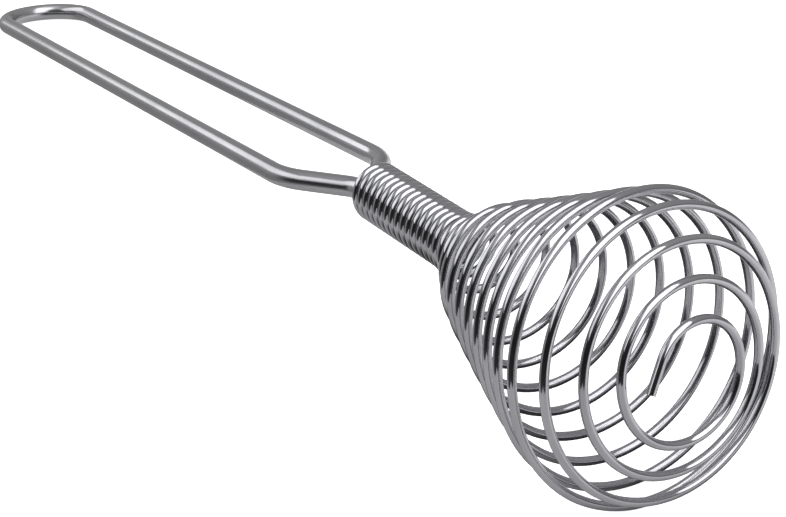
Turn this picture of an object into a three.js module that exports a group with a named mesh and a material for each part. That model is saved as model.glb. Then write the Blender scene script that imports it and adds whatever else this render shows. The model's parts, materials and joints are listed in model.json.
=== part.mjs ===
// A spring whisk made of two wires: a heavy one bent into a long looped handle, and a thin spring
// wire wound round the handle's two legs, which then opens into a bell of wide turns and closes at
// the tip. Millimetres, +Z up. The whisk lies on a table, on its loop's end and its bell's rim.
import * as THREE from 'three';

// Handle wire, laid out along X from the end of the loop
const HANDLE_WIRE = 3.95;      // diameter
const LEG_SPACING = 21.2;      // between the two legs, centre to centre
const LEG_RUN = 163;           // from the loop's end to where the legs turn in
const TAPER_RUN = 12.8;        // from there to where they run straight again
const LEG_GAP = 0.2;           // between the legs where the coil holds them
const TURN_IN_BEND = 14;       // centreline radius where a leg turns in
const GRIP_BEND = 6;           // centreline radius where it runs straight again
const MOUTH_CLEARANCE = 2.2;   // from the end of that bend to the mouth of the coil
const HEAD_LEAN = 3.55;        // degrees that the coil dips below the plane of the loop

// Spring wire, laid out along X from the mouth of the coil
const SPRING_WIRE = 1.5;       // diameter
const GRIP_CLEARANCE = 0.3;    // between the legs and the turns round them
const NECK_RUN = 32.3;         // from the mouth to the corner where the neck widens
const LEG_INSET = 3;           // how far before that corner the legs stop
const FLARE_RUN = 9.9;         // from that corner to the waist, where the cone starts
const WAIST_RADIUS = 11.25;    // of the wire's centreline, as are the radii below
const CONE_RUN = 44.2;         // from the waist to the shoulder
const SHOULDER_RADIUS = 26.7;  // at the corner, before it is rounded
const FACE_RUN = 7.0;          // from the shoulder to the free end at the tip
const TIP_RADIUS = 7.25;
const NECK_ROUND = 20.5;       // roundings of the profile's three corners
const WAIST_ROUND = 40;
const SHOULDER_ROUND = 8.9;
const NECK_TURN_GAP = 0.41;    // between one neck turn and the next
const BELL_TURN_GAP = 4.25;    // between one bell turn and the next
const OPENING_LEAD = 4.75;     // how far before the neck's corner the turns start to part
const OPENING_RUN = 9.3;       // length of profile over which they part
const TIP_ANGLE = 150;         // degrees round the axis, from +Y towards +Z, where the turns end
const TIP_STRAIGHT = 5;        // how far the free end runs straight on from there
const TURN_LEAN_TOP = 5.5;     // degrees that the widest turns lean back at their top
const TURN_LEAN_SIDE = 3.85;   // degrees that they lean back at their +Y side
const TIP_RISE = 2;            // how far the bell bends up by its tip
const TIP_SWING = 1.2;         // how far it bends towards +Y by its tip

// Facets
const HANDLE_SIDES = 12;
const LOOP_STEPS = 17;         // odd, so that one facet lies square across the loop's end
const BEND_STEP = 8;           // degrees
const SPRING_SIDES = 6;
const PROFILE_STEP = 3;        // degrees
const CHORD_ERROR = 0.17;      // how far a turn's straight steps cut inside its circle

const LEG_OFFSET = (HANDLE_WIRE + LEG_GAP) / 2;
const TAPER_ANGLE = Math.atan2(LEG_SPACING / 2 - LEG_OFFSET, TAPER_RUN);
const GRIP_AT = LEG_RUN + TAPER_RUN;
const MOUTH_AT = GRIP_AT + GRIP_BEND * Math.tan(TAPER_ANGLE / 2) + MOUTH_CLEARANCE;
const NECK_RADIUS = LEG_OFFSET + HANDLE_WIRE / 2 + GRIP_CLEARANCE + SPRING_WIRE / 2;
const LEAN = THREE.MathUtils.degToRad(HEAD_LEAN);

// Points along straight runs with round corners. Each corner is [x, y, radius of its rounding].
function roundedPoints(corners, degreesPerStep) {
  const place = corners.map(([x, y]) => new THREE.Vector2(x, y));
  const points = [place[0]];
  for (let i = 1; i < corners.length - 1; i += 1) {
    const back = place[i - 1].clone().sub(place[i]).normalize();
    const ahead = place[i + 1].clone().sub(place[i]).normalize();
    const half = Math.acos(back.dot(ahead)) / 2;
    const radius = corners[i][2];
    const toCentre = back.clone().add(ahead).normalize();
    const centre = place[i].clone().addScaledVector(toCentre, radius / Math.sin(half));
    const start = place[i].clone().addScaledVector(back, radius / Math.tan(half)).sub(centre);
    const turn = Math.sign(back.cross(ahead)) * -(Math.PI - 2 * half);
    const steps = Math.ceil(THREE.MathUtils.radToDeg(Math.abs(turn)) / degreesPerStep);
    for (let k = 0; k <= steps; k += 1) {
      const spoke = start.clone().rotateAround(new THREE.Vector2(), (turn * k) / steps);
      points.push(spoke.add(centre));
    }
  }
  points.push(place.at(-1));
  return points;
}

// A closed tube through the points. sideAt gives the direction that one facet faces at a point.
function tube(points, sideAt, diameter, sides) {
  const vertices = [];
  points.forEach((point, i) => {
    const before = points[Math.max(i - 1, 0)];
    const after = points[Math.min(i + 1, points.length - 1)];
    const along = point.clone().sub(before).normalize();
    along.add(after.clone().sub(point).normalize()).normalize();
    const side = sideAt(point).projectOnPlane(along).normalize();
    const up = along.clone().cross(side);
    for (let k = 0; k < sides; k += 1) {
      const angle = ((k + 0.5) / sides) * 2 * Math.PI;
      const corner = point.clone().addScaledVector(side, (Math.cos(angle) * diameter) / 2);
      vertices.push(...corner.addScaledVector(up, (Math.sin(angle) * diameter) / 2));
    }
  });
  const last = (points.length - 1) * sides;
  const faces = [];
  for (let ring = 0; ring < last; ring += sides) {
    for (let k = 0; k < sides; k += 1) {
      const next = (k + 1) % sides;
      faces.push(ring + k, ring + next, ring + sides + next);
      faces.push(ring + k, ring + sides + next, ring + sides + k);
    }
  }
  for (let k = 1; k < sides - 1; k += 1) {
    faces.push(0, k + 1, k);
    faces.push(last, last + k, last + k + 1);
  }
  const geometry = new THREE.BufferGeometry();
  geometry.setAttribute('position', new THREE.Float32BufferAttribute(vertices, 3));
  geometry.setIndex(faces);
  geometry.computeVertexNormals();
  return geometry;
}

// The handle's centreline: in along one leg from its end in the coil, round the loop, out again.
function handlePath() {
  const half = LEG_SPACING / 2;
  const legEnd = MOUTH_AT + NECK_RUN - LEG_INSET;
  const leg = roundedPoints([
    [legEnd, LEG_OFFSET],
    [GRIP_AT, LEG_OFFSET, GRIP_BEND],
    [LEG_RUN, half, TURN_IN_BEND],
    [half, half],
  ], BEND_STEP);
  const loop = [];
  for (let k = 1; k < LOOP_STEPS; k += 1) {
    const angle = Math.PI / 2 + (Math.PI * k) / LOOP_STEPS;
    loop.push(new THREE.Vector2(half + half * Math.cos(angle), half * Math.sin(angle)));
  }
  const otherLeg = leg.map((p) => new THREE.Vector2(p.x, -p.y)).reverse();
  return [...leg, ...loop, ...otherLeg].map((p) => {
    const dip = Math.max(p.x - MOUTH_AT, 0) * Math.tan(LEAN);
    return new THREE.Vector3(p.x, p.y, -dip);
  });
}

// The coil's outline from mouth to tip: x along its axis, y the radius of the wire's centreline.
function coilProfile() {
  const waist = NECK_RUN + FLARE_RUN;
  const shoulder = waist + CONE_RUN;
  return roundedPoints([
    [0, NECK_RADIUS],
    [NECK_RUN, NECK_RADIUS, NECK_ROUND],
    [waist, WAIST_RADIUS, WAIST_ROUND],
    [shoulder, SHOULDER_RADIUS, SHOULDER_ROUND],
    [shoulder + FACE_RUN, TIP_RADIUS],
  ], PROFILE_STEP);
}

// Distance between one turn and the next, centre to centre, at a length along the profile.
function turnSpacing(length) {
  const opening = NECK_RUN - OPENING_LEAD;
  const share = THREE.MathUtils.smoothstep(length, opening, opening + OPENING_RUN);
  return SPRING_WIRE + THREE.MathUtils.lerp(NECK_TURN_GAP, BELL_TURN_GAP, share);
}

// A point of the coil as use has left it: the turns lean back, and the bell bends up and aside.
function worn(x, y, z) {
  const shoulder = NECK_RUN + FLARE_RUN + CONE_RUN;
  const lean = THREE.MathUtils.smoothstep(x, NECK_RUN, shoulder);
  const top = Math.tan(THREE.MathUtils.degToRad(TURN_LEAN_TOP));
  const side = Math.tan(THREE.MathUtils.degToRad(TURN_LEAN_SIDE));
  const bend = Math.max((x - NECK_RUN) / (shoulder + FACE_RUN - NECK_RUN), 0) ** 2;
  return new THREE.Vector3(x - lean * (top * z + side * y), y + bend * TIP_SWING, z + bend * TIP_RISE);
}

// The coil's centreline, wound right-handed, from the free end at the tip back to the mouth.
// Both ends run straight: the one at the mouth for one wire diameter.
function coilPath() {
  const profile = coilProfile();
  const reach = [0];
  for (let i = 1; i < profile.length; i += 1) {
    reach.push(reach[i - 1] + profile[i].distanceTo(profile[i - 1]));
  }
  const points = [];
  const angles = [];
  let length = reach.at(-1);
  let angle = THREE.MathUtils.degToRad(TIP_ANGLE);
  while (length >= 0) {
    const i = Math.max(reach.findIndex((r) => r >= length), 1);
    const share = (length - reach[i - 1]) / (reach[i] - reach[i - 1]);
    const { x, y: radius } = profile[i - 1].clone().lerp(profile[i], share);
    points.push(worn(x, radius * Math.cos(angle), radius * Math.sin(angle)));
    angles.push(angle);
    const step = 2 * Math.acos(1 - CHORD_ERROR / radius);
    angle -= step;
    length -= (turnSpacing(length) * step) / (2 * Math.PI);
  }
  const straightOn = (end, inner, run) => end.clone().sub(inner).setLength(run).add(end);
  const freeEnd = straightOn(points[0], points[1], TIP_STRAIGHT);
  const mouthEnd = straightOn(points.at(-1), points.at(-2), SPRING_WIRE);
  return {
    points: [freeEnd, ...points, mouthEnd],
    angles: [angles[0], ...angles, angles.at(-1)],
  };
}

// Least gap between the coil's own turns, measured on its centreline: from each point to every
// step that lies more than half a turn further along the wire.
function leastGap({ points, angles }) {
  const step = new THREE.Line3();
  const nearest = new THREE.Vector3();
  let least = Infinity;
  points.forEach((point, i) => {
    for (let j = i + 1; j < points.length - 1; j += 1) {
      if (angles[i] - angles[j] > Math.PI) {
        step.set(points[j], points[j + 1]).closestPointToPoint(point, true, nearest);
        least = Math.min(least, point.distanceTo(nearest));
      }
    }
  });
  return least - SPRING_WIRE;
}

// Corners of a mesh in the whisk's own layout, before it is laid on the table.
function cornersOf(mesh) {
  mesh.updateMatrix();
  const position = mesh.geometry.getAttribute('position');
  return Array.from({ length: position.count }, (_, i) => (
    new THREE.Vector3().fromBufferAttribute(position, i).applyMatrix4(mesh.matrix)
  ));
}

// Angle by which the coil's end is raised when the loop and the bell both touch the table.
function restingTilt(handle, coil) {
  const lowest = (corners, tilt) => corners.reduce((low, p) => (
    Math.min(low, p.x * Math.sin(tilt) + p.z * Math.cos(tilt))
  ), Infinity);
  const handleCorners = cornersOf(handle);
  const coilCorners = cornersOf(coil);
  let flat = 0;
  let steep = Math.PI / 4;
  while (steep - flat > Number.EPSILON) {
    const tilt = (flat + steep) / 2;
    if (lowest(coilCorners, tilt) < lowest(handleCorners, tilt)) {
      flat = tilt;
    } else {
      steep = tilt;
    }
  }
  return flat;
}

const polishedSteel = new THREE.MeshStandardMaterial({ color: 0xb9bbbd, roughness: 0.16, metalness: 1 });
const springSteel = new THREE.MeshStandardMaterial({ color: 0xa9abae, roughness: 0.22, metalness: 1 });

const upward = () => new THREE.Vector3(0, 0, 1);
const handle = new THREE.Mesh(tube(handlePath(), upward, HANDLE_WIRE, HANDLE_SIDES), polishedSteel);
handle.name = 'handle_wire';

const outward = (point) => new THREE.Vector3(0, point.y, point.z);
const wound = coilPath();
const coil = new THREE.Mesh(tube(wound.points, outward, SPRING_WIRE, SPRING_SIDES), springSteel);
coil.name = 'whisk_coil';
coil.position.x = MOUTH_AT;
coil.rotation.y = LEAN;
const turns = (wound.angles[0] - wound.angles.at(-1)) / (2 * Math.PI);
const gap = leastGap(wound);
console.log(`whisk_coil: ${turns.toFixed(1)} turns, least gap to itself ${gap.toFixed(2)} mm`);

const whisk = new THREE.Group();
whisk.add(handle, coil);
whisk.rotation.y = -restingTilt(handle, coil);

// The origin is on the table, under the middle of the whisk.
const onTable = new THREE.Group();
onTable.add(whisk);
const box = new THREE.Box3().setFromObject(onTable, true);
const middle = box.getCenter(new THREE.Vector3());
whisk.position.set(-middle.x, -middle.y, -box.min.z);

export default onTable;
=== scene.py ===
# %% [markdown]
# # A spring whisk, wire by wire
#
# This whisk is two pieces of bent steel wire. A heavy wire makes the handle: one long loop whose two
# legs come together at the front. A thin spring wire is wound tightly round those legs as a neck, and
# then opens into a bell of wide turns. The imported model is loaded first, as a frame: it says where
# everything is, and how the bell gives when it is pressed.

# %% Load the frame
import json
import math

import bpy
from mathutils import Matrix, Vector


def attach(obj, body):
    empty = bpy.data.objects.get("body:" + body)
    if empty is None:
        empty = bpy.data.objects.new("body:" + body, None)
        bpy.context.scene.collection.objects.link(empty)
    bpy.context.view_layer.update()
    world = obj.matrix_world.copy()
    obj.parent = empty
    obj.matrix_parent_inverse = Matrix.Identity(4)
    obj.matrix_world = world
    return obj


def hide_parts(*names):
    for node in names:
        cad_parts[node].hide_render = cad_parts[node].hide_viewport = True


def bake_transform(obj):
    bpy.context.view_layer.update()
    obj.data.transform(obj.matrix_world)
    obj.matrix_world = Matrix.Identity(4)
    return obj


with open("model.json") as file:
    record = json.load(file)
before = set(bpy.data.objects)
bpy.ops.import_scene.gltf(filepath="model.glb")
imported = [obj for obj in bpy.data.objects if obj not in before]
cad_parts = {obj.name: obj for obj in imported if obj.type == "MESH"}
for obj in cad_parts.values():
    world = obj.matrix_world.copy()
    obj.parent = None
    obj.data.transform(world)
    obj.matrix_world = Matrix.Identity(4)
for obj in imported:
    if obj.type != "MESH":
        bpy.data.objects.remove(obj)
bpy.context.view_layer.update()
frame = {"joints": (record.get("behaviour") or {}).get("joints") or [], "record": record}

MM = 0.001

# %% [markdown]
# ## The camera
#
# The photograph was taken from in front of the bell, a little above it, with the handle running away
# to the upper left. A long lens keeps the far loop from shrinking too much. The camera comes first,
# because everything that follows is judged through it.

# %% Place the camera
CAMERA_AT = (0.34324, -0.17001, 0.16328)   # metres
CAMERA_TURN = (65.543, -1.410, 60.650)     # degrees about X, Y and Z
CAMERA_LENS = 93.85                        # millimetres
CAMERA_SENSOR = 36                         # millimetres across the picture

bpy.ops.object.select_all(action="DESELECT")
bpy.ops.object.camera_add(location=CAMERA_AT, rotation=[math.radians(a) for a in CAMERA_TURN])
camera = bpy.context.object
camera.data.lens = CAMERA_LENS
camera.data.sensor_width = CAMERA_SENSOR
camera.data.sensor_fit = "HORIZONTAL"
bpy.context.scene.camera = camera
print("camera", camera.data.lens, "mm")

# %% [markdown]
# ## Where the whisk lies
#
# The whisk rests on the end of its loop and the rim of its bell, so its handle slopes up a little.
# The frame knows that slope: the mount inside the loop's end gives the handle's direction, and the
# joint that lets the bell give is the axis of the coil. Each wire is shaped flat along X, where round
# numbers are easy, and one matrix then lays it in its place.

# %% Read the slope of the handle and of the coil
HANDLE_WIRE = 3.95 * MM

mounts = {mount["name"]: mount for mount in frame["record"]["mounts"]}
across = Vector((0, 1, 0))


def lying_along(direction, start):
    """The matrix that lays a wire shaped along X in its place: along direction, from start."""
    along = Vector(direction).normalized()
    turn = Matrix((along, across, along.cross(across))).transposed()
    return Matrix.Translation(start) @ turn.to_4x4()


handle_axis = Vector(mounts["hang_face"]["axis"])
loop_end = Vector(mounts["hang_face"]["pos_m"]) - handle_axis * HANDLE_WIRE / 2
handle_place = lying_along(handle_axis, loop_end)
coil_axis = Vector(frame["joints"][0]["axis"])
print("handle rises", round(math.degrees(math.asin(handle_axis.z)), 2), "degrees")

# %% [markdown]
# ## The handle
#
# A wire like this is bent on pegs: straight runs joined by round bends. Modelling can follow the
# bending. A circle is the section of the wire, extrude draws a straight run, and spin carries the
# section round a bend about its own peg. Only one leg is bent, from the middle of the loop to the cut
# end, and a mirror gives the other.

# %% Bend one leg
LEG_SPACING = 21.2 * MM      # between the legs, centre to centre
LEG_RUN = 163 * MM           # from the loop's end to where a leg turns in
TAPER_RUN = 12.8 * MM        # from there to where it runs straight again
LEG_GAP = 0.2 * MM           # between the legs inside the coil
TURN_IN_BEND = 14 * MM       # radii of the bends, on the middle of the wire
GRIP_BEND = 6 * MM
MOUTH_CLEARANCE = 2.2 * MM   # from the last bend to the mouth of the coil
NECK_RUN = 32.3 * MM         # from the coil's mouth to where its neck widens
LEG_INSET = 3 * MM           # how far before that the legs stop
HANDLE_SIDES = 40
LOOP_STEPS = 32              # rings along one leg's half of the loop's end
BEND_STEPS = 14              # and along each of its other bends

half_spacing = LEG_SPACING / 2
leg_offset = (HANDLE_WIRE + LEG_GAP) / 2
taper = math.atan2(half_spacing - leg_offset, TAPER_RUN)
turn_in_reach = TURN_IN_BEND * math.tan(taper / 2)
grip_reach = GRIP_BEND * math.tan(taper / 2)
taper_straight = math.hypot(half_spacing - leg_offset, TAPER_RUN) - turn_in_reach - grip_reach
grip_at = LEG_RUN + TAPER_RUN
mouth_at = grip_at + grip_reach + MOUTH_CLEARANCE
leg_end = mouth_at + NECK_RUN - LEG_INSET


def run_straight(x, y=0):
    """Draws the wire on from the selected ring, along X and Y."""
    bpy.ops.mesh.extrude_region_move(TRANSFORM_OT_translate={"value": (x, y, 0)})


def run_round(peg, angle, steps):
    """Bends the wire on round a peg. A positive angle turns right, seen from above."""
    bpy.ops.mesh.spin(steps=steps, angle=angle, center=(*peg, 0), axis=(0, 0, 1))


bpy.ops.object.select_all(action="DESELECT")
bpy.ops.mesh.primitive_circle_add(
    vertices=HANDLE_SIDES, radius=HANDLE_WIRE / 2, rotation=(math.pi / 2, 0, 0))
handle = bpy.context.object
handle.name = handle.data.name = "looped_handle"
bpy.ops.object.transform_apply(location=True, rotation=True, scale=True)
bpy.ops.object.mode_set(mode="EDIT")
bpy.ops.mesh.select_all(action="SELECT")
run_round((half_spacing, 0), math.pi / 2, LOOP_STEPS)
run_straight(LEG_RUN - turn_in_reach - half_spacing)
run_round((LEG_RUN - turn_in_reach, half_spacing - TURN_IN_BEND), taper, BEND_STEPS)
run_straight(taper_straight * math.cos(taper), -taper_straight * math.sin(taper))
run_round((grip_at + grip_reach, leg_offset + GRIP_BEND), -taper, BEND_STEPS)
run_straight(MOUTH_CLEARANCE)
run_straight(leg_end - mouth_at)
bpy.ops.object.mode_set(mode="OBJECT")
print(handle.name, len(handle.data.vertices) // HANDLE_SIDES, "rings of", HANDLE_SIDES, "points")

# %% [markdown]
# The marks on a drawn wire run along it, also round its bends. So that a pattern can follow them,
# each point keeps its place on the wire as it was before it was bent: X along the wire, Y and Z
# round it. The points lie ring by ring, so counting them is enough. A UV map could hold this too, but
# it would have a seam.

# %% Remember the straight wire, close the end and mirror the leg
CUT_EDGE = 0.35 * MM         # how far the edge of a cut end is rounded
CUT_EDGE_STEPS = 3
SEAM_MERGE = 0.01 * MM       # points of the two legs closer than this become one


def remember_straight(piece, sides, diameter):
    """Keeps each point's place on the straight wire as the attribute straight_wire."""
    points = piece.data.vertices
    places = []
    along = 0.0
    before = None
    for first in range(0, len(points), sides):
        middle = sum((points[first + k].co for k in range(sides)), Vector()) / sides
        if before:
            along += (middle - before).length
        before = middle
        for k in range(sides):
            turn = math.tau * k / sides
            places += [along, math.cos(turn) * diameter / 2, math.sin(turn) * diameter / 2]
    straight = piece.data.attributes.new("straight_wire", "FLOAT_VECTOR", "POINT")
    straight.data.foreach_set("vector", places)
    return along


half_length = remember_straight(handle, HANDLE_SIDES, HANDLE_WIRE)
bpy.ops.object.mode_set(mode="EDIT")
bpy.ops.mesh.edge_face_add()
bpy.ops.mesh.bevel(offset=CUT_EDGE, segments=CUT_EDGE_STEPS)
bpy.ops.object.mode_set(mode="OBJECT")
mirror = handle.modifiers.new("other_leg", "MIRROR")
mirror.use_axis = (False, True, False)
mirror.merge_threshold = SEAM_MERGE
bpy.ops.object.modifier_apply(modifier=mirror.name)
for vertex, straight in zip(handle.data.vertices, handle.data.attributes["straight_wire"].data):
    if vertex.co.y < 0:
        straight.vector.x *= -1
print(handle.name, round(2 * half_length / MM), "mm of wire")

# %% [markdown]
# The coil isn't quite in line with the handle: it dips out of the loop's plane, as it does once a
# whisk has been pressed into a few bowls. The ends of the legs inside it dip with it. They are picked
# by their place, beyond the mouth of the coil, and turned about that mouth.

# %% Lean the leg ends and lay the handle down
SMOOTH_ANGLE = math.radians(40)   # sharper edges than this, as at a cut end, stay crisp

mouth = handle_place @ Vector((mouth_at, 0, 0))
coil_place = lying_along(coil_axis, mouth)
lean = handle_axis.angle(coil_axis)

for vertex in handle.data.vertices:
    past_mouth = vertex.co.x - mouth_at
    if past_mouth > 0:
        vertex.co.z -= past_mouth * math.tan(lean)


def lay_down(piece, place):
    """Moves a wire that was shaped along X to its place, and keeps that place in its mesh."""
    piece.matrix_world = place
    bpy.ops.object.select_all(action="DESELECT")
    piece.select_set(True)
    bpy.context.view_layer.objects.active = piece
    bpy.ops.object.transform_apply(location=True, rotation=True, scale=True)
    bpy.ops.object.mode_set(mode="EDIT")
    bpy.ops.mesh.select_all(action="SELECT")
    bpy.ops.mesh.normals_make_consistent(inside=False)
    bpy.ops.object.mode_set(mode="OBJECT")
    bpy.ops.object.shade_smooth_by_angle(angle=SMOOTH_ANGLE)


lay_down(handle, handle_place)
print("head leans", round(math.degrees(lean), 2), "degrees")

# %% [markdown]
# ## The coil's outline
#
# Cut the coil along its axis and the wire's middle lies on one line: level along the neck, out
# through a flare, up a straight cone, round the shoulder and in again to the tip. Straight runs with
# round corners draw it, just as a maker's mandrel is turned.

# %% Draw the outline of the coil
SPRING_WIRE = 1.5 * MM
FLARE_RUN = 9.9 * MM           # from the neck's corner to the waist, where the cone starts
WAIST_RADIUS = 11.25 * MM
CONE_RUN = 44.2 * MM           # from the waist to the shoulder
SHOULDER_RADIUS = 26.7 * MM    # at the corner, before it is rounded
FACE_RUN = 7.0 * MM            # from the shoulder to the tip
TIP_RADIUS = 7.25 * MM
NECK_ROUND = 20.5 * MM
WAIST_ROUND = 40 * MM
SHOULDER_ROUND = 8.9 * MM
OUTLINE_STEP = math.radians(2)

neck_radius = leg_offset + HANDLE_WIRE / 2 + SPRING_WIRE / 2
waist_at = NECK_RUN + FLARE_RUN
shoulder_at = waist_at + CONE_RUN
tip_at = shoulder_at + FACE_RUN


def round_corner(before, corner, after, radius):
    """Points of the arc that rounds a corner between two straight runs."""
    back = (before - corner).normalized()
    ahead = (after - corner).normalized()
    half = back.angle(ahead) / 2
    centre = corner + (back + ahead).normalized() * radius / math.sin(half)
    spoke = corner + back * radius / math.tan(half) - centre
    turn = math.pi - 2 * half
    if back.cross(ahead) > 0:
        turn = -turn
    steps = math.ceil(abs(turn) / OUTLINE_STEP)
    return [centre + Matrix.Rotation(turn * k / steps, 2) @ spoke for k in range(steps + 1)]


mouth_ring = Vector((0, neck_radius))
neck_end = Vector((NECK_RUN, neck_radius))
waist = Vector((waist_at, WAIST_RADIUS))
shoulder = Vector((shoulder_at, SHOULDER_RADIUS))
tip = Vector((tip_at, TIP_RADIUS))
outline = [mouth_ring]
outline += round_corner(mouth_ring, neck_end, waist, NECK_ROUND)
outline += round_corner(neck_end, waist, shoulder, WAIST_ROUND)
outline += round_corner(waist, shoulder, tip, SHOULDER_ROUND)
outline.append(tip)
reach = [0.0]
for here, there in zip(outline, outline[1:]):
    reach.append(reach[-1] + (there - here).length)
print("outline is", round(reach[-1] / MM, 1), "mm long, with", len(outline), "points")

# %% [markdown]
# ## Winding the spring
#
# Now the wire is wound along that outline. It starts at the free end at the tip and works back to
# the mouth, one small step of angle at a time, and each step also moves it along the outline: a
# little where the turns lie close, more where they stand apart. The steps are points of a curve, and
# a round bevel gives the curve the thickness of the wire. A screw modifier couldn't do this, because
# both the radius and the spacing change on the way.

# %% Wind the coil
NECK_TURN_GAP = 0.41 * MM      # between one neck turn and the next
BELL_TURN_GAP = 4.25 * MM      # between one bell turn and the next
OPENING_LEAD = 4.75 * MM       # how far before the neck's corner the turns start to part
OPENING_RUN = 9.3 * MM         # length of outline over which they part
TIP_ANGLE = math.radians(150)  # where the turns end, round the axis
TIP_STRAIGHT = 5 * MM          # how far the free end runs straight on
LEAN_TOP = math.radians(5.5)   # how far the widest turns lean back at their top,
LEAN_SIDE = math.radians(3.85)  # and at their far side
TIP_RISE = 2 * MM              # how far the bell bends up by its tip
TIP_SWING = 1.2 * MM           # and to its far side
CHORD_ERROR = 0.008 * MM       # how far a step may cut inside its turn
SPRING_ROUNDNESS = 6           # gives the wire 16 sides


def point_on_outline(length):
    """The outline's place along the axis and its radius, at a length along the outline."""
    index = next(i for i, r in enumerate(reach) if r >= length and i > 0)
    share = (length - reach[index - 1]) / (reach[index] - reach[index - 1])
    return outline[index - 1].lerp(outline[index], share)


def eased(share):
    """A share from 0 to 1 with a slow start and a slow end."""
    share = min(max(share, 0), 1)
    return share * share * (3 - 2 * share)


def turn_spacing(length):
    """Distance between one turn and the next at a length along the outline."""
    opened = eased((length - (NECK_RUN - OPENING_LEAD)) / OPENING_RUN)
    return SPRING_WIRE + NECK_TURN_GAP + (BELL_TURN_GAP - NECK_TURN_GAP) * opened


def worn(x, y, z):
    """A point of the coil as use has left it: turns that lean back, and a bell bent up and aside."""
    lean_share = eased((x - NECK_RUN) / (shoulder_at - NECK_RUN))
    bend_share = max((x - NECK_RUN) / (tip_at - NECK_RUN), 0) ** 2
    back = lean_share * (math.tan(LEAN_TOP) * z + math.tan(LEAN_SIDE) * y)
    return Vector((x - back, y + bend_share * TIP_SWING, z + bend_share * TIP_RISE))


line = []
length = reach[-1]
angle = TIP_ANGLE
while length >= 0:
    x, radius = point_on_outline(length)
    line.append(worn(x, radius * math.cos(angle), radius * math.sin(angle)))
    step = 2 * math.acos(1 - CHORD_ERROR / radius)
    angle -= step
    length -= turn_spacing(length) * step / math.tau
line.insert(0, line[0] + (line[0] - line[1]).normalized() * TIP_STRAIGHT)
line.append(line[-1] + (line[-1] - line[-2]).normalized() * SPRING_WIRE)
turns = (TIP_ANGLE - angle) / math.tau

winding = bpy.data.curves.new("spring_coil", "CURVE")
winding.dimensions = "3D"
winding.bevel_depth = SPRING_WIRE / 2
winding.bevel_resolution = SPRING_ROUNDNESS
spline = winding.splines.new("POLY")
spline.points.add(len(line) - 1)
for point, place in zip(spline.points, line):
    point.co = (*place, 1)
coil = bpy.data.objects.new("spring_coil", winding)
bpy.context.collection.objects.link(coil)
bpy.ops.object.select_all(action="DESELECT")
coil.select_set(True)
bpy.context.view_layer.objects.active = coil
bpy.ops.object.convert(target="MESH")
coil = bpy.context.object
spring_sides = len(coil.data.vertices) // len(line)
coil_length = remember_straight(coil, spring_sides, SPRING_WIRE)
bpy.ops.object.mode_set(mode="EDIT")
bpy.ops.mesh.select_all(action="SELECT")
bpy.ops.mesh.fill_holes(sides=0)
bpy.ops.object.mode_set(mode="OBJECT")
lay_down(coil, coil_place)
print(coil.name, round(turns, 1), "turns,", round(coil_length / MM), "mm of wire,", spring_sides, "sides")

# %% [markdown]
# ## Steel
#
# Both wires are stainless steel that was drawn through dies and then brightened. What the eye gets
# from it is nearly all reflection: a metal has no colour of its own underneath. Three things keep it
# from looking like a perfect mirror. Dies leave fine lines along the wire, handling leaves patches
# that are a little duller, and the grey itself drifts slightly from place to place. All three are
# noise on the straight wire, stretched along it, so they follow every bend.

# %% Helpers for colours and nodes


def linear(hex_colour):
    """An sRGB hex colour as the linear red, green, blue and alpha that shaders use."""
    channels = [int(hex_colour[i:i + 2], 16) / 255 for i in (1, 3, 5)]
    curve = [c / 12.92 if c <= 0.04045 else ((c + 0.055) / 1.055) ** 2.4 for c in channels]
    return (*curve, 1.0)


def add_node(tree, kind, settings=None, links=None):
    """Adds a node. settings fill its inputs or properties by name, and links feed its inputs."""
    node = tree.nodes.new(kind)
    for name, value in (settings or {}).items():
        if name in node.inputs:
            node.inputs[name].default_value = value
        else:
            setattr(node, name, value)
    for name, source in (links or {}).items():
        tree.links.new(source, node.inputs[name])
    return node


def set_ramp(ramp, stops):
    """Fills a colour ramp from (place, colour) pairs."""
    elements = ramp.color_ramp.elements
    while len(elements) < len(stops):
        elements.new(1.0)
    for element, (place, colour) in zip(elements, stops):
        element.position = place
        element.color = colour


# %% Make the drawn steels
DIE_LINE_WIDTH = 0.35 * MM     # a real one is a tenth of this, and wouldn't show in the picture
DIE_LINE_LENGTH = 45 * MM
SMUDGE_WIDTH = 4 * MM
SMUDGE_LENGTH = 18 * MM
SMUDGE_FROM, SMUDGE_FULL = 0.35, 0.7   # noise from where a spot is clean to where it is dullest


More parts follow.
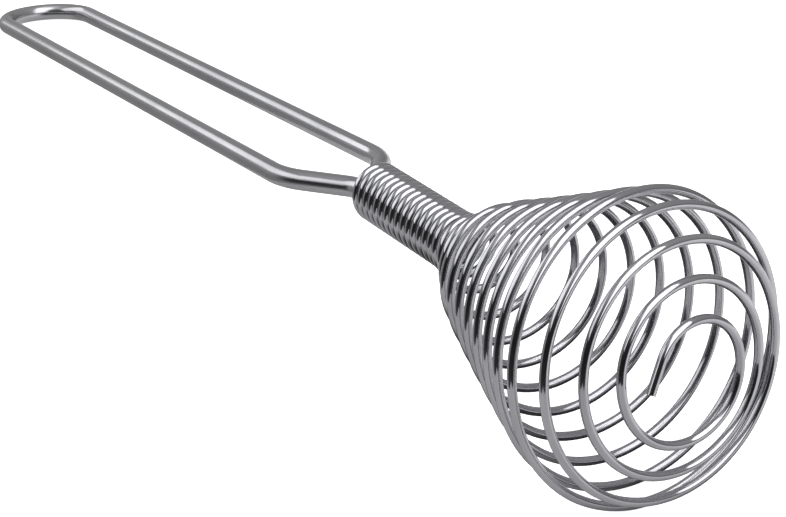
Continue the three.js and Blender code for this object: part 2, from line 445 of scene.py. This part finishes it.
def drawn_steel(name, greys, roughness, line_roughness, line_depth):
    """Bright drawn wire. greys and roughness each run from the cleanest spots to the dullest."""
    material = bpy.data.materials.new(name)
    material.use_nodes = True
    tree = material.node_tree
    shader = tree.nodes["Principled BSDF"]
    shader.inputs["Metallic"].default_value = 1.0
    wire = add_node(tree, "ShaderNodeAttribute", {"attribute_name": "straight_wire"})

    def wire_noise(length, width, detail):
        stretch = add_node(tree, "ShaderNodeMapping", {"Scale": (1 / length, 1 / width, 1 / width)},
                           {"Vector": wire.outputs["Vector"]})
        return add_node(tree, "ShaderNodeTexNoise", {"Scale": 1.0, "Detail": detail},
                        {"Vector": stretch.outputs["Vector"]}).outputs["Fac"]

    lines = wire_noise(DIE_LINE_LENGTH, DIE_LINE_WIDTH, detail=2.0)
    smudges = wire_noise(SMUDGE_LENGTH, SMUDGE_WIDTH, detail=5.0)
    tone = add_node(tree, "ShaderNodeValToRGB", links={"Fac": smudges})
    set_ramp(tone, [(SMUDGE_FROM, linear(greys[0])), (SMUDGE_FULL, linear(greys[1]))])
    dullness = add_node(tree, "ShaderNodeMapRange", {
        "From Min": SMUDGE_FROM, "From Max": SMUDGE_FULL,
        "To Min": roughness[0], "To Max": roughness[1]}, {"Value": smudges})
    lined = add_node(tree, "ShaderNodeMath", {"operation": "MULTIPLY_ADD"})
    tree.links.new(lines, lined.inputs[0])
    lined.inputs[1].default_value = line_roughness
    tree.links.new(dullness.outputs["Result"], lined.inputs[2])
    relief = add_node(tree, "ShaderNodeBump", {"Strength": 1.0, "Distance": line_depth}, {"Height": lines})
    tree.links.new(tone.outputs["Color"], shader.inputs["Base Color"])
    tree.links.new(lined.outputs["Value"], shader.inputs["Roughness"])
    tree.links.new(relief.outputs["Normal"], shader.inputs["Normal"])
    return material


# Heavy wire, ground smooth and electropolished: broad soft-edged reflections.
handle_steel = drawn_steel(
    "electropolished_stainless", greys=("#C9C9CC", "#B9B9BD"), roughness=(0.14, 0.24),
    line_roughness=0.06, line_depth=0.006 * MM)
# Spring wire, drawn hard and left as bright as the die made it: narrow crisp reflections.
spring_steel = drawn_steel(
    "hard_drawn_spring_steel", greys=("#C6C6CA", "#B4B4B9"), roughness=(0.04, 0.10),
    line_roughness=0.04, line_depth=0.003 * MM)
print("steels:", handle_steel.name, "and", spring_steel.name)

# %% [markdown]
# Where a wire was cut, the shear has torn the end: it is darker and rough, and mirrors nothing.
# Those end faces are the only ones with many corners, which makes them easy to find.

# %% Make the cut ends
TEAR_WIDTH = 0.25 * MM
TEAR_DEPTH = 0.04 * MM


def sheared_steel():
    """The torn face that a wire cutter leaves: dull, dark and grainy."""
    material = bpy.data.materials.new("sheared_stainless")
    material.use_nodes = True
    tree = material.node_tree
    shader = tree.nodes["Principled BSDF"]
    shader.inputs["Metallic"].default_value = 1.0
    place = add_node(tree, "ShaderNodeTexCoord")
    tears = add_node(tree, "ShaderNodeTexNoise", {"Scale": 1 / TEAR_WIDTH, "Detail": 3.0},
                     {"Vector": place.outputs["Object"]})
    tone = add_node(tree, "ShaderNodeValToRGB", links={"Fac": tears.outputs["Fac"]})
    set_ramp(tone, [(0.3, linear("#5A5A5E")), (0.7, linear("#8A8A8E"))])
    dullness = add_node(tree, "ShaderNodeMapRange", {"To Min": 0.4, "To Max": 0.65},
                        {"Value": tears.outputs["Fac"]})
    relief = add_node(tree, "ShaderNodeBump", {"Strength": 1.0, "Distance": TEAR_DEPTH},
                      {"Height": tears.outputs["Fac"]})
    tree.links.new(tone.outputs["Color"], shader.inputs["Base Color"])
    tree.links.new(dullness.outputs["Result"], shader.inputs["Roughness"])
    tree.links.new(relief.outputs["Normal"], shader.inputs["Normal"])
    return material


cut_steel = sheared_steel()
for piece, drawn in ((handle, handle_steel), (coil, spring_steel)):
    piece.data.materials.clear()
    piece.data.materials.append(drawn)
    piece.data.materials.append(cut_steel)
    ends = [face for face in piece.data.polygons if len(face.vertices) > 4]
    for face in ends:
        face.material_index = 1
    print(piece.name, "has", len(ends), "cut ends")

# %% [markdown]
# ## The floor and the studio
#
# Bright wire shows the room around it more than itself, so the room is what has to be lit. The floor
# comes first. The camera sees white paper that glows enough to leave no shadow, but the steel would
# turn milky if it saw so much white, so the paper is hidden from reflections.

# %% Lay the floor
FLOOR_SIZE = 6000 * MM
PAPER_GLOW = 0.9               # with the light that falls on it, enough for pure white

bpy.ops.object.select_all(action="DESELECT")
bpy.ops.mesh.primitive_plane_add(size=FLOOR_SIZE, location=(0, 0, 0))
floor = bpy.context.object
floor.name = "floor"
floor.visible_glossy = floor.visible_diffuse = floor.visible_shadow = False
paper = bpy.data.materials.new("white_paper")
paper.use_nodes = True
sheet = paper.node_tree.nodes["Principled BSDF"]
sheet.inputs["Base Color"].default_value = linear("#F2F2F2")
sheet.inputs["Roughness"].default_value = 0.9
sheet.inputs["Emission Color"].default_value = linear("#FFFFFF")
sheet.inputs["Emission Strength"].default_value = PAPER_GLOW
floor.data.materials.append(paper)
print(floor.name, "is", FLOOR_SIZE, "m across")

# %% [markdown]
# What the steel sees under itself is a matt card, just below the paper and hidden from the camera. It
# lies round the bell: the lower halves of the near turns mirror it as a light grey. Under the bell the
# card's colour is darkened by a painted shadow, which stands in for the bell's own shadow. The far
# turns look down on it, and so they are darker. That painted shadow is an oval, drawn out away from
# the light on the left.

# %% Lay the card that the steel sees
CARD_DEPTH = 0.5 * MM                # under the paper
CARD_MIDDLE = (115 * MM, 85 * MM)
CARD_SIZE = (420 * MM, 300 * MM)
CARD_TURN = math.radians(-30)        # its near edge runs past the bell and leaves the handle free
# A painted shadow: the card's colour is darkened in an oval under the bell.
SHADE_AT = (98 * MM, 2 * MM)         # under the bell
SHADE_REACH = (66 * MM, 32 * MM)     # the long and the short way to its oval edge
SHADE_TURN = math.radians(30)        # away from the light on the left
SHADE_CORE = 0.45                    # the part of that which is fully dark
PAINTED_SHADE_TONE = "#484848"
# Painted light: the card's colour runs from grey on the camera's side to white on the far side.
LIGHT_FROM, LIGHT_FULL = -7 * MM, 70 * MM   # across the whisk, from the camera's side to the far side
PAINTED_LIGHT_TONES = ("#CCCCCC", "#FFFFFF")

bpy.ops.mesh.primitive_plane_add(size=1, location=(0, 0, 0))
card = bpy.context.object
card.name = "card"
card.scale = (*CARD_SIZE, 1)
card.rotation_euler.z = CARD_TURN
card.location = (*CARD_MIDDLE, -CARD_DEPTH)
bpy.ops.object.transform_apply(location=True, rotation=True, scale=True)
card.visible_camera = False
board = bpy.data.materials.new("matt_card")
board.use_nodes = True
tree = board.node_tree
matt = tree.nodes["Principled BSDF"]
matt.inputs["Roughness"].default_value = 0.9
spot = add_node(tree, "ShaderNodeTexCoord").outputs["Object"]
# The oval of the painted shadow, and how far each point lies inside it.
oval = add_node(tree, "ShaderNodeMapping", {
    "vector_type": "TEXTURE", "Location": (*SHADE_AT, -CARD_DEPTH),
    "Rotation": (0, 0, SHADE_TURN), "Scale": (*SHADE_REACH, 1)},
    {"Vector": spot})
apart = add_node(tree, "ShaderNodeVectorMath", {"operation": "LENGTH"})
tree.links.new(oval.outputs["Vector"], apart.inputs[0])
lit = add_node(tree, "ShaderNodeMapRange", {
    "interpolation_type": "SMOOTHSTEP", "From Min": SHADE_CORE, "From Max": 1.0},
    {"Value": apart.outputs["Value"]})
# The painted light, lighter towards the far side.
side = add_node(tree, "ShaderNodeMapRange", {"From Min": LIGHT_FROM, "From Max": LIGHT_FULL},
                {"Value": add_node(tree, "ShaderNodeSeparateXYZ", links={"Vector": spot}).outputs["Y"]})
tone = add_node(tree, "ShaderNodeValToRGB", links={"Fac": side.outputs["Result"]})
set_ramp(tone, [(0.0, linear(PAINTED_LIGHT_TONES[0])), (1.0, linear(PAINTED_LIGHT_TONES[1]))])
# The painted shadow's dark colour mixed into the card's tones.
painted_shade = add_node(tree, "ShaderNodeMixRGB", {"Color1": linear(PAINTED_SHADE_TONE)}, {
    "Fac": lit.outputs["Result"], "Color2": tone.outputs["Color"]})
tree.links.new(painted_shade.outputs["Color"], matt.inputs["Base Color"])
card.data.materials.append(board)
print(card.name, "is", CARD_SIZE[0], "by", CARD_SIZE[1], "m")

# %% [markdown]
# Around that stand three walls, each a ramp of brightness from straight down to straight up. The back
# wall is light low down and grey above, the left one is grey, and the one on the camera's side is
# nearly black at the level of the camera: it draws the dark lines on the turns of the neck and bell.
# Two softboxes give the long highlights, a wide one along the left of the handle and a tall one over
# the front of the bell.

# %% Set the walls of the studio
BACK_WALL = [                     # (height from straight down 0 to straight up 1, brightness)
    (0.0, 0.42), (0.15, 0.56), (0.25, 0.62), (0.34, 0.70), (0.41, 1.05), (0.46, 1.10), (0.50, 0.50),
    (0.55, 0.22), (0.62, 0.24), (0.70, 0.34), (0.86, 0.36), (0.96, 0.40), (0.99, 0.90)]
LEFT_WALL = [
    (0.0, 0.27), (0.40, 0.28), (0.50, 0.36), (0.58, 0.38), (0.74, 0.32), (0.90, 0.34), (0.97, 0.90)]
CAMERA_WALL = [
    (0.0, 0.45), (0.20, 0.45), (0.28, 0.26), (0.36, 0.05), (0.45, 0.03), (0.58, 0.02), (0.70, 0.03),
    (0.78, 0.10), (0.86, 0.26), (0.91, 0.50), (0.95, 1.30)]
# The azimuth where a wall stands, and how straight at it a direction points where the wall starts and
# where it is all that the steel sees, with 1 for straight at it.
LEFT_AT, LEFT_FROM, LEFT_FULL = math.radians(-150), 0.3, 0.8
CAMERA_SIDE, CAMERA_FROM, CAMERA_FULL = math.radians(-52), 0.25, 0.65


def grey(brightness):
    """A grey of that brightness, which may be above white, with alpha."""
    return (brightness, brightness, brightness, 1.0)


studio = bpy.data.worlds.new("studio")
bpy.context.scene.world = studio
studio.use_nodes = True
tree = studio.node_tree
direction = add_node(tree, "ShaderNodeTexCoord").outputs["Generated"]
height = add_node(tree, "ShaderNodeMapRange", {"From Min": -1.0, "From Max": 1.0})
tree.links.new(add_node(tree, "ShaderNodeSeparateXYZ", links={"Vector": direction}).outputs["Z"],
               height.inputs["Value"])


def wall(stops):
    """A wall whose brightness changes from the floor to overhead."""
    ramp = add_node(tree, "ShaderNodeValToRGB", links={"Fac": height.outputs["Result"]})
    set_ramp(ramp, [(place, grey(brightness)) for place, brightness in stops])
    return ramp.outputs["Color"]


room = wall(BACK_WALL)
for stops, azimuth, start, full in ((LEFT_WALL, LEFT_AT, LEFT_FROM, LEFT_FULL),
                                    (CAMERA_WALL, CAMERA_SIDE, CAMERA_FROM, CAMERA_FULL)):
    towards = add_node(tree, "ShaderNodeVectorMath", {"operation": "DOT_PRODUCT"})
    tree.links.new(direction, towards.inputs[0])
    towards.inputs[1].default_value = (math.cos(azimuth), math.sin(azimuth), 0.0)
    nearness = add_node(tree, "ShaderNodeMapRange", {
        "interpolation_type": "SMOOTHSTEP", "From Min": start, "From Max": full},
        {"Value": towards.outputs["Value"]})
    room = add_node(tree, "ShaderNodeMixRGB", links={
        "Fac": nearness.outputs["Result"], "Color1": room, "Color2": wall(stops)}).outputs["Color"]
tree.links.new(room, tree.nodes["Background"].inputs["Color"])
print(studio.name, "has", len(tree.nodes), "nodes")

# %% Hang the softboxes
SOFTBOX_DISTANCE = 1200 * MM


def softbox(name, azimuth, elevation, width, height, brightness, tilt=0):
    """An area light that faces the whisk. Angles are in degrees, azimuth from +X towards +Y."""
    az, el = math.radians(azimuth), math.radians(elevation)
    aim = Vector((math.cos(el) * math.cos(az), math.cos(el) * math.sin(az), math.sin(el)))
    place = SOFTBOX_DISTANCE * aim
    turn = (-place).to_track_quat("-Z", "Y").to_euler()
    bpy.ops.object.light_add(type="AREA", location=place, rotation=turn)
    light = bpy.context.object
    light.rotation_euler.rotate_axis("Z", math.radians(tilt))
    light.name = name
    light.data.shape = "RECTANGLE"
    light.data.size = width
    light.data.size_y = height
    light.data.energy = brightness * math.pi * width * height
    print(name, "is", width, "by", height, "m")


softbox("softbox_left", azimuth=-127, elevation=33, width=2.2, height=0.66, brightness=1.15, tilt=13)
softbox("softbox_right", azimuth=10, elevation=53, width=0.95, height=1.7, brightness=1.8)
# Plain tones, as in a photograph for a shop: the default view would turn the paper grey.
bpy.context.scene.view_settings.view_transform = "Standard"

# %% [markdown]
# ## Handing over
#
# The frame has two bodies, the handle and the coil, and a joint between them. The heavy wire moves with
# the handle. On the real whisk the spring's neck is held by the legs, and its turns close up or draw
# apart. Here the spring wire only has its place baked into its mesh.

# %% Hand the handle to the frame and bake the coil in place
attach(handle, "handle")
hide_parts("handle_wire")
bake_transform(coil)
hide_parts("whisk_coil")
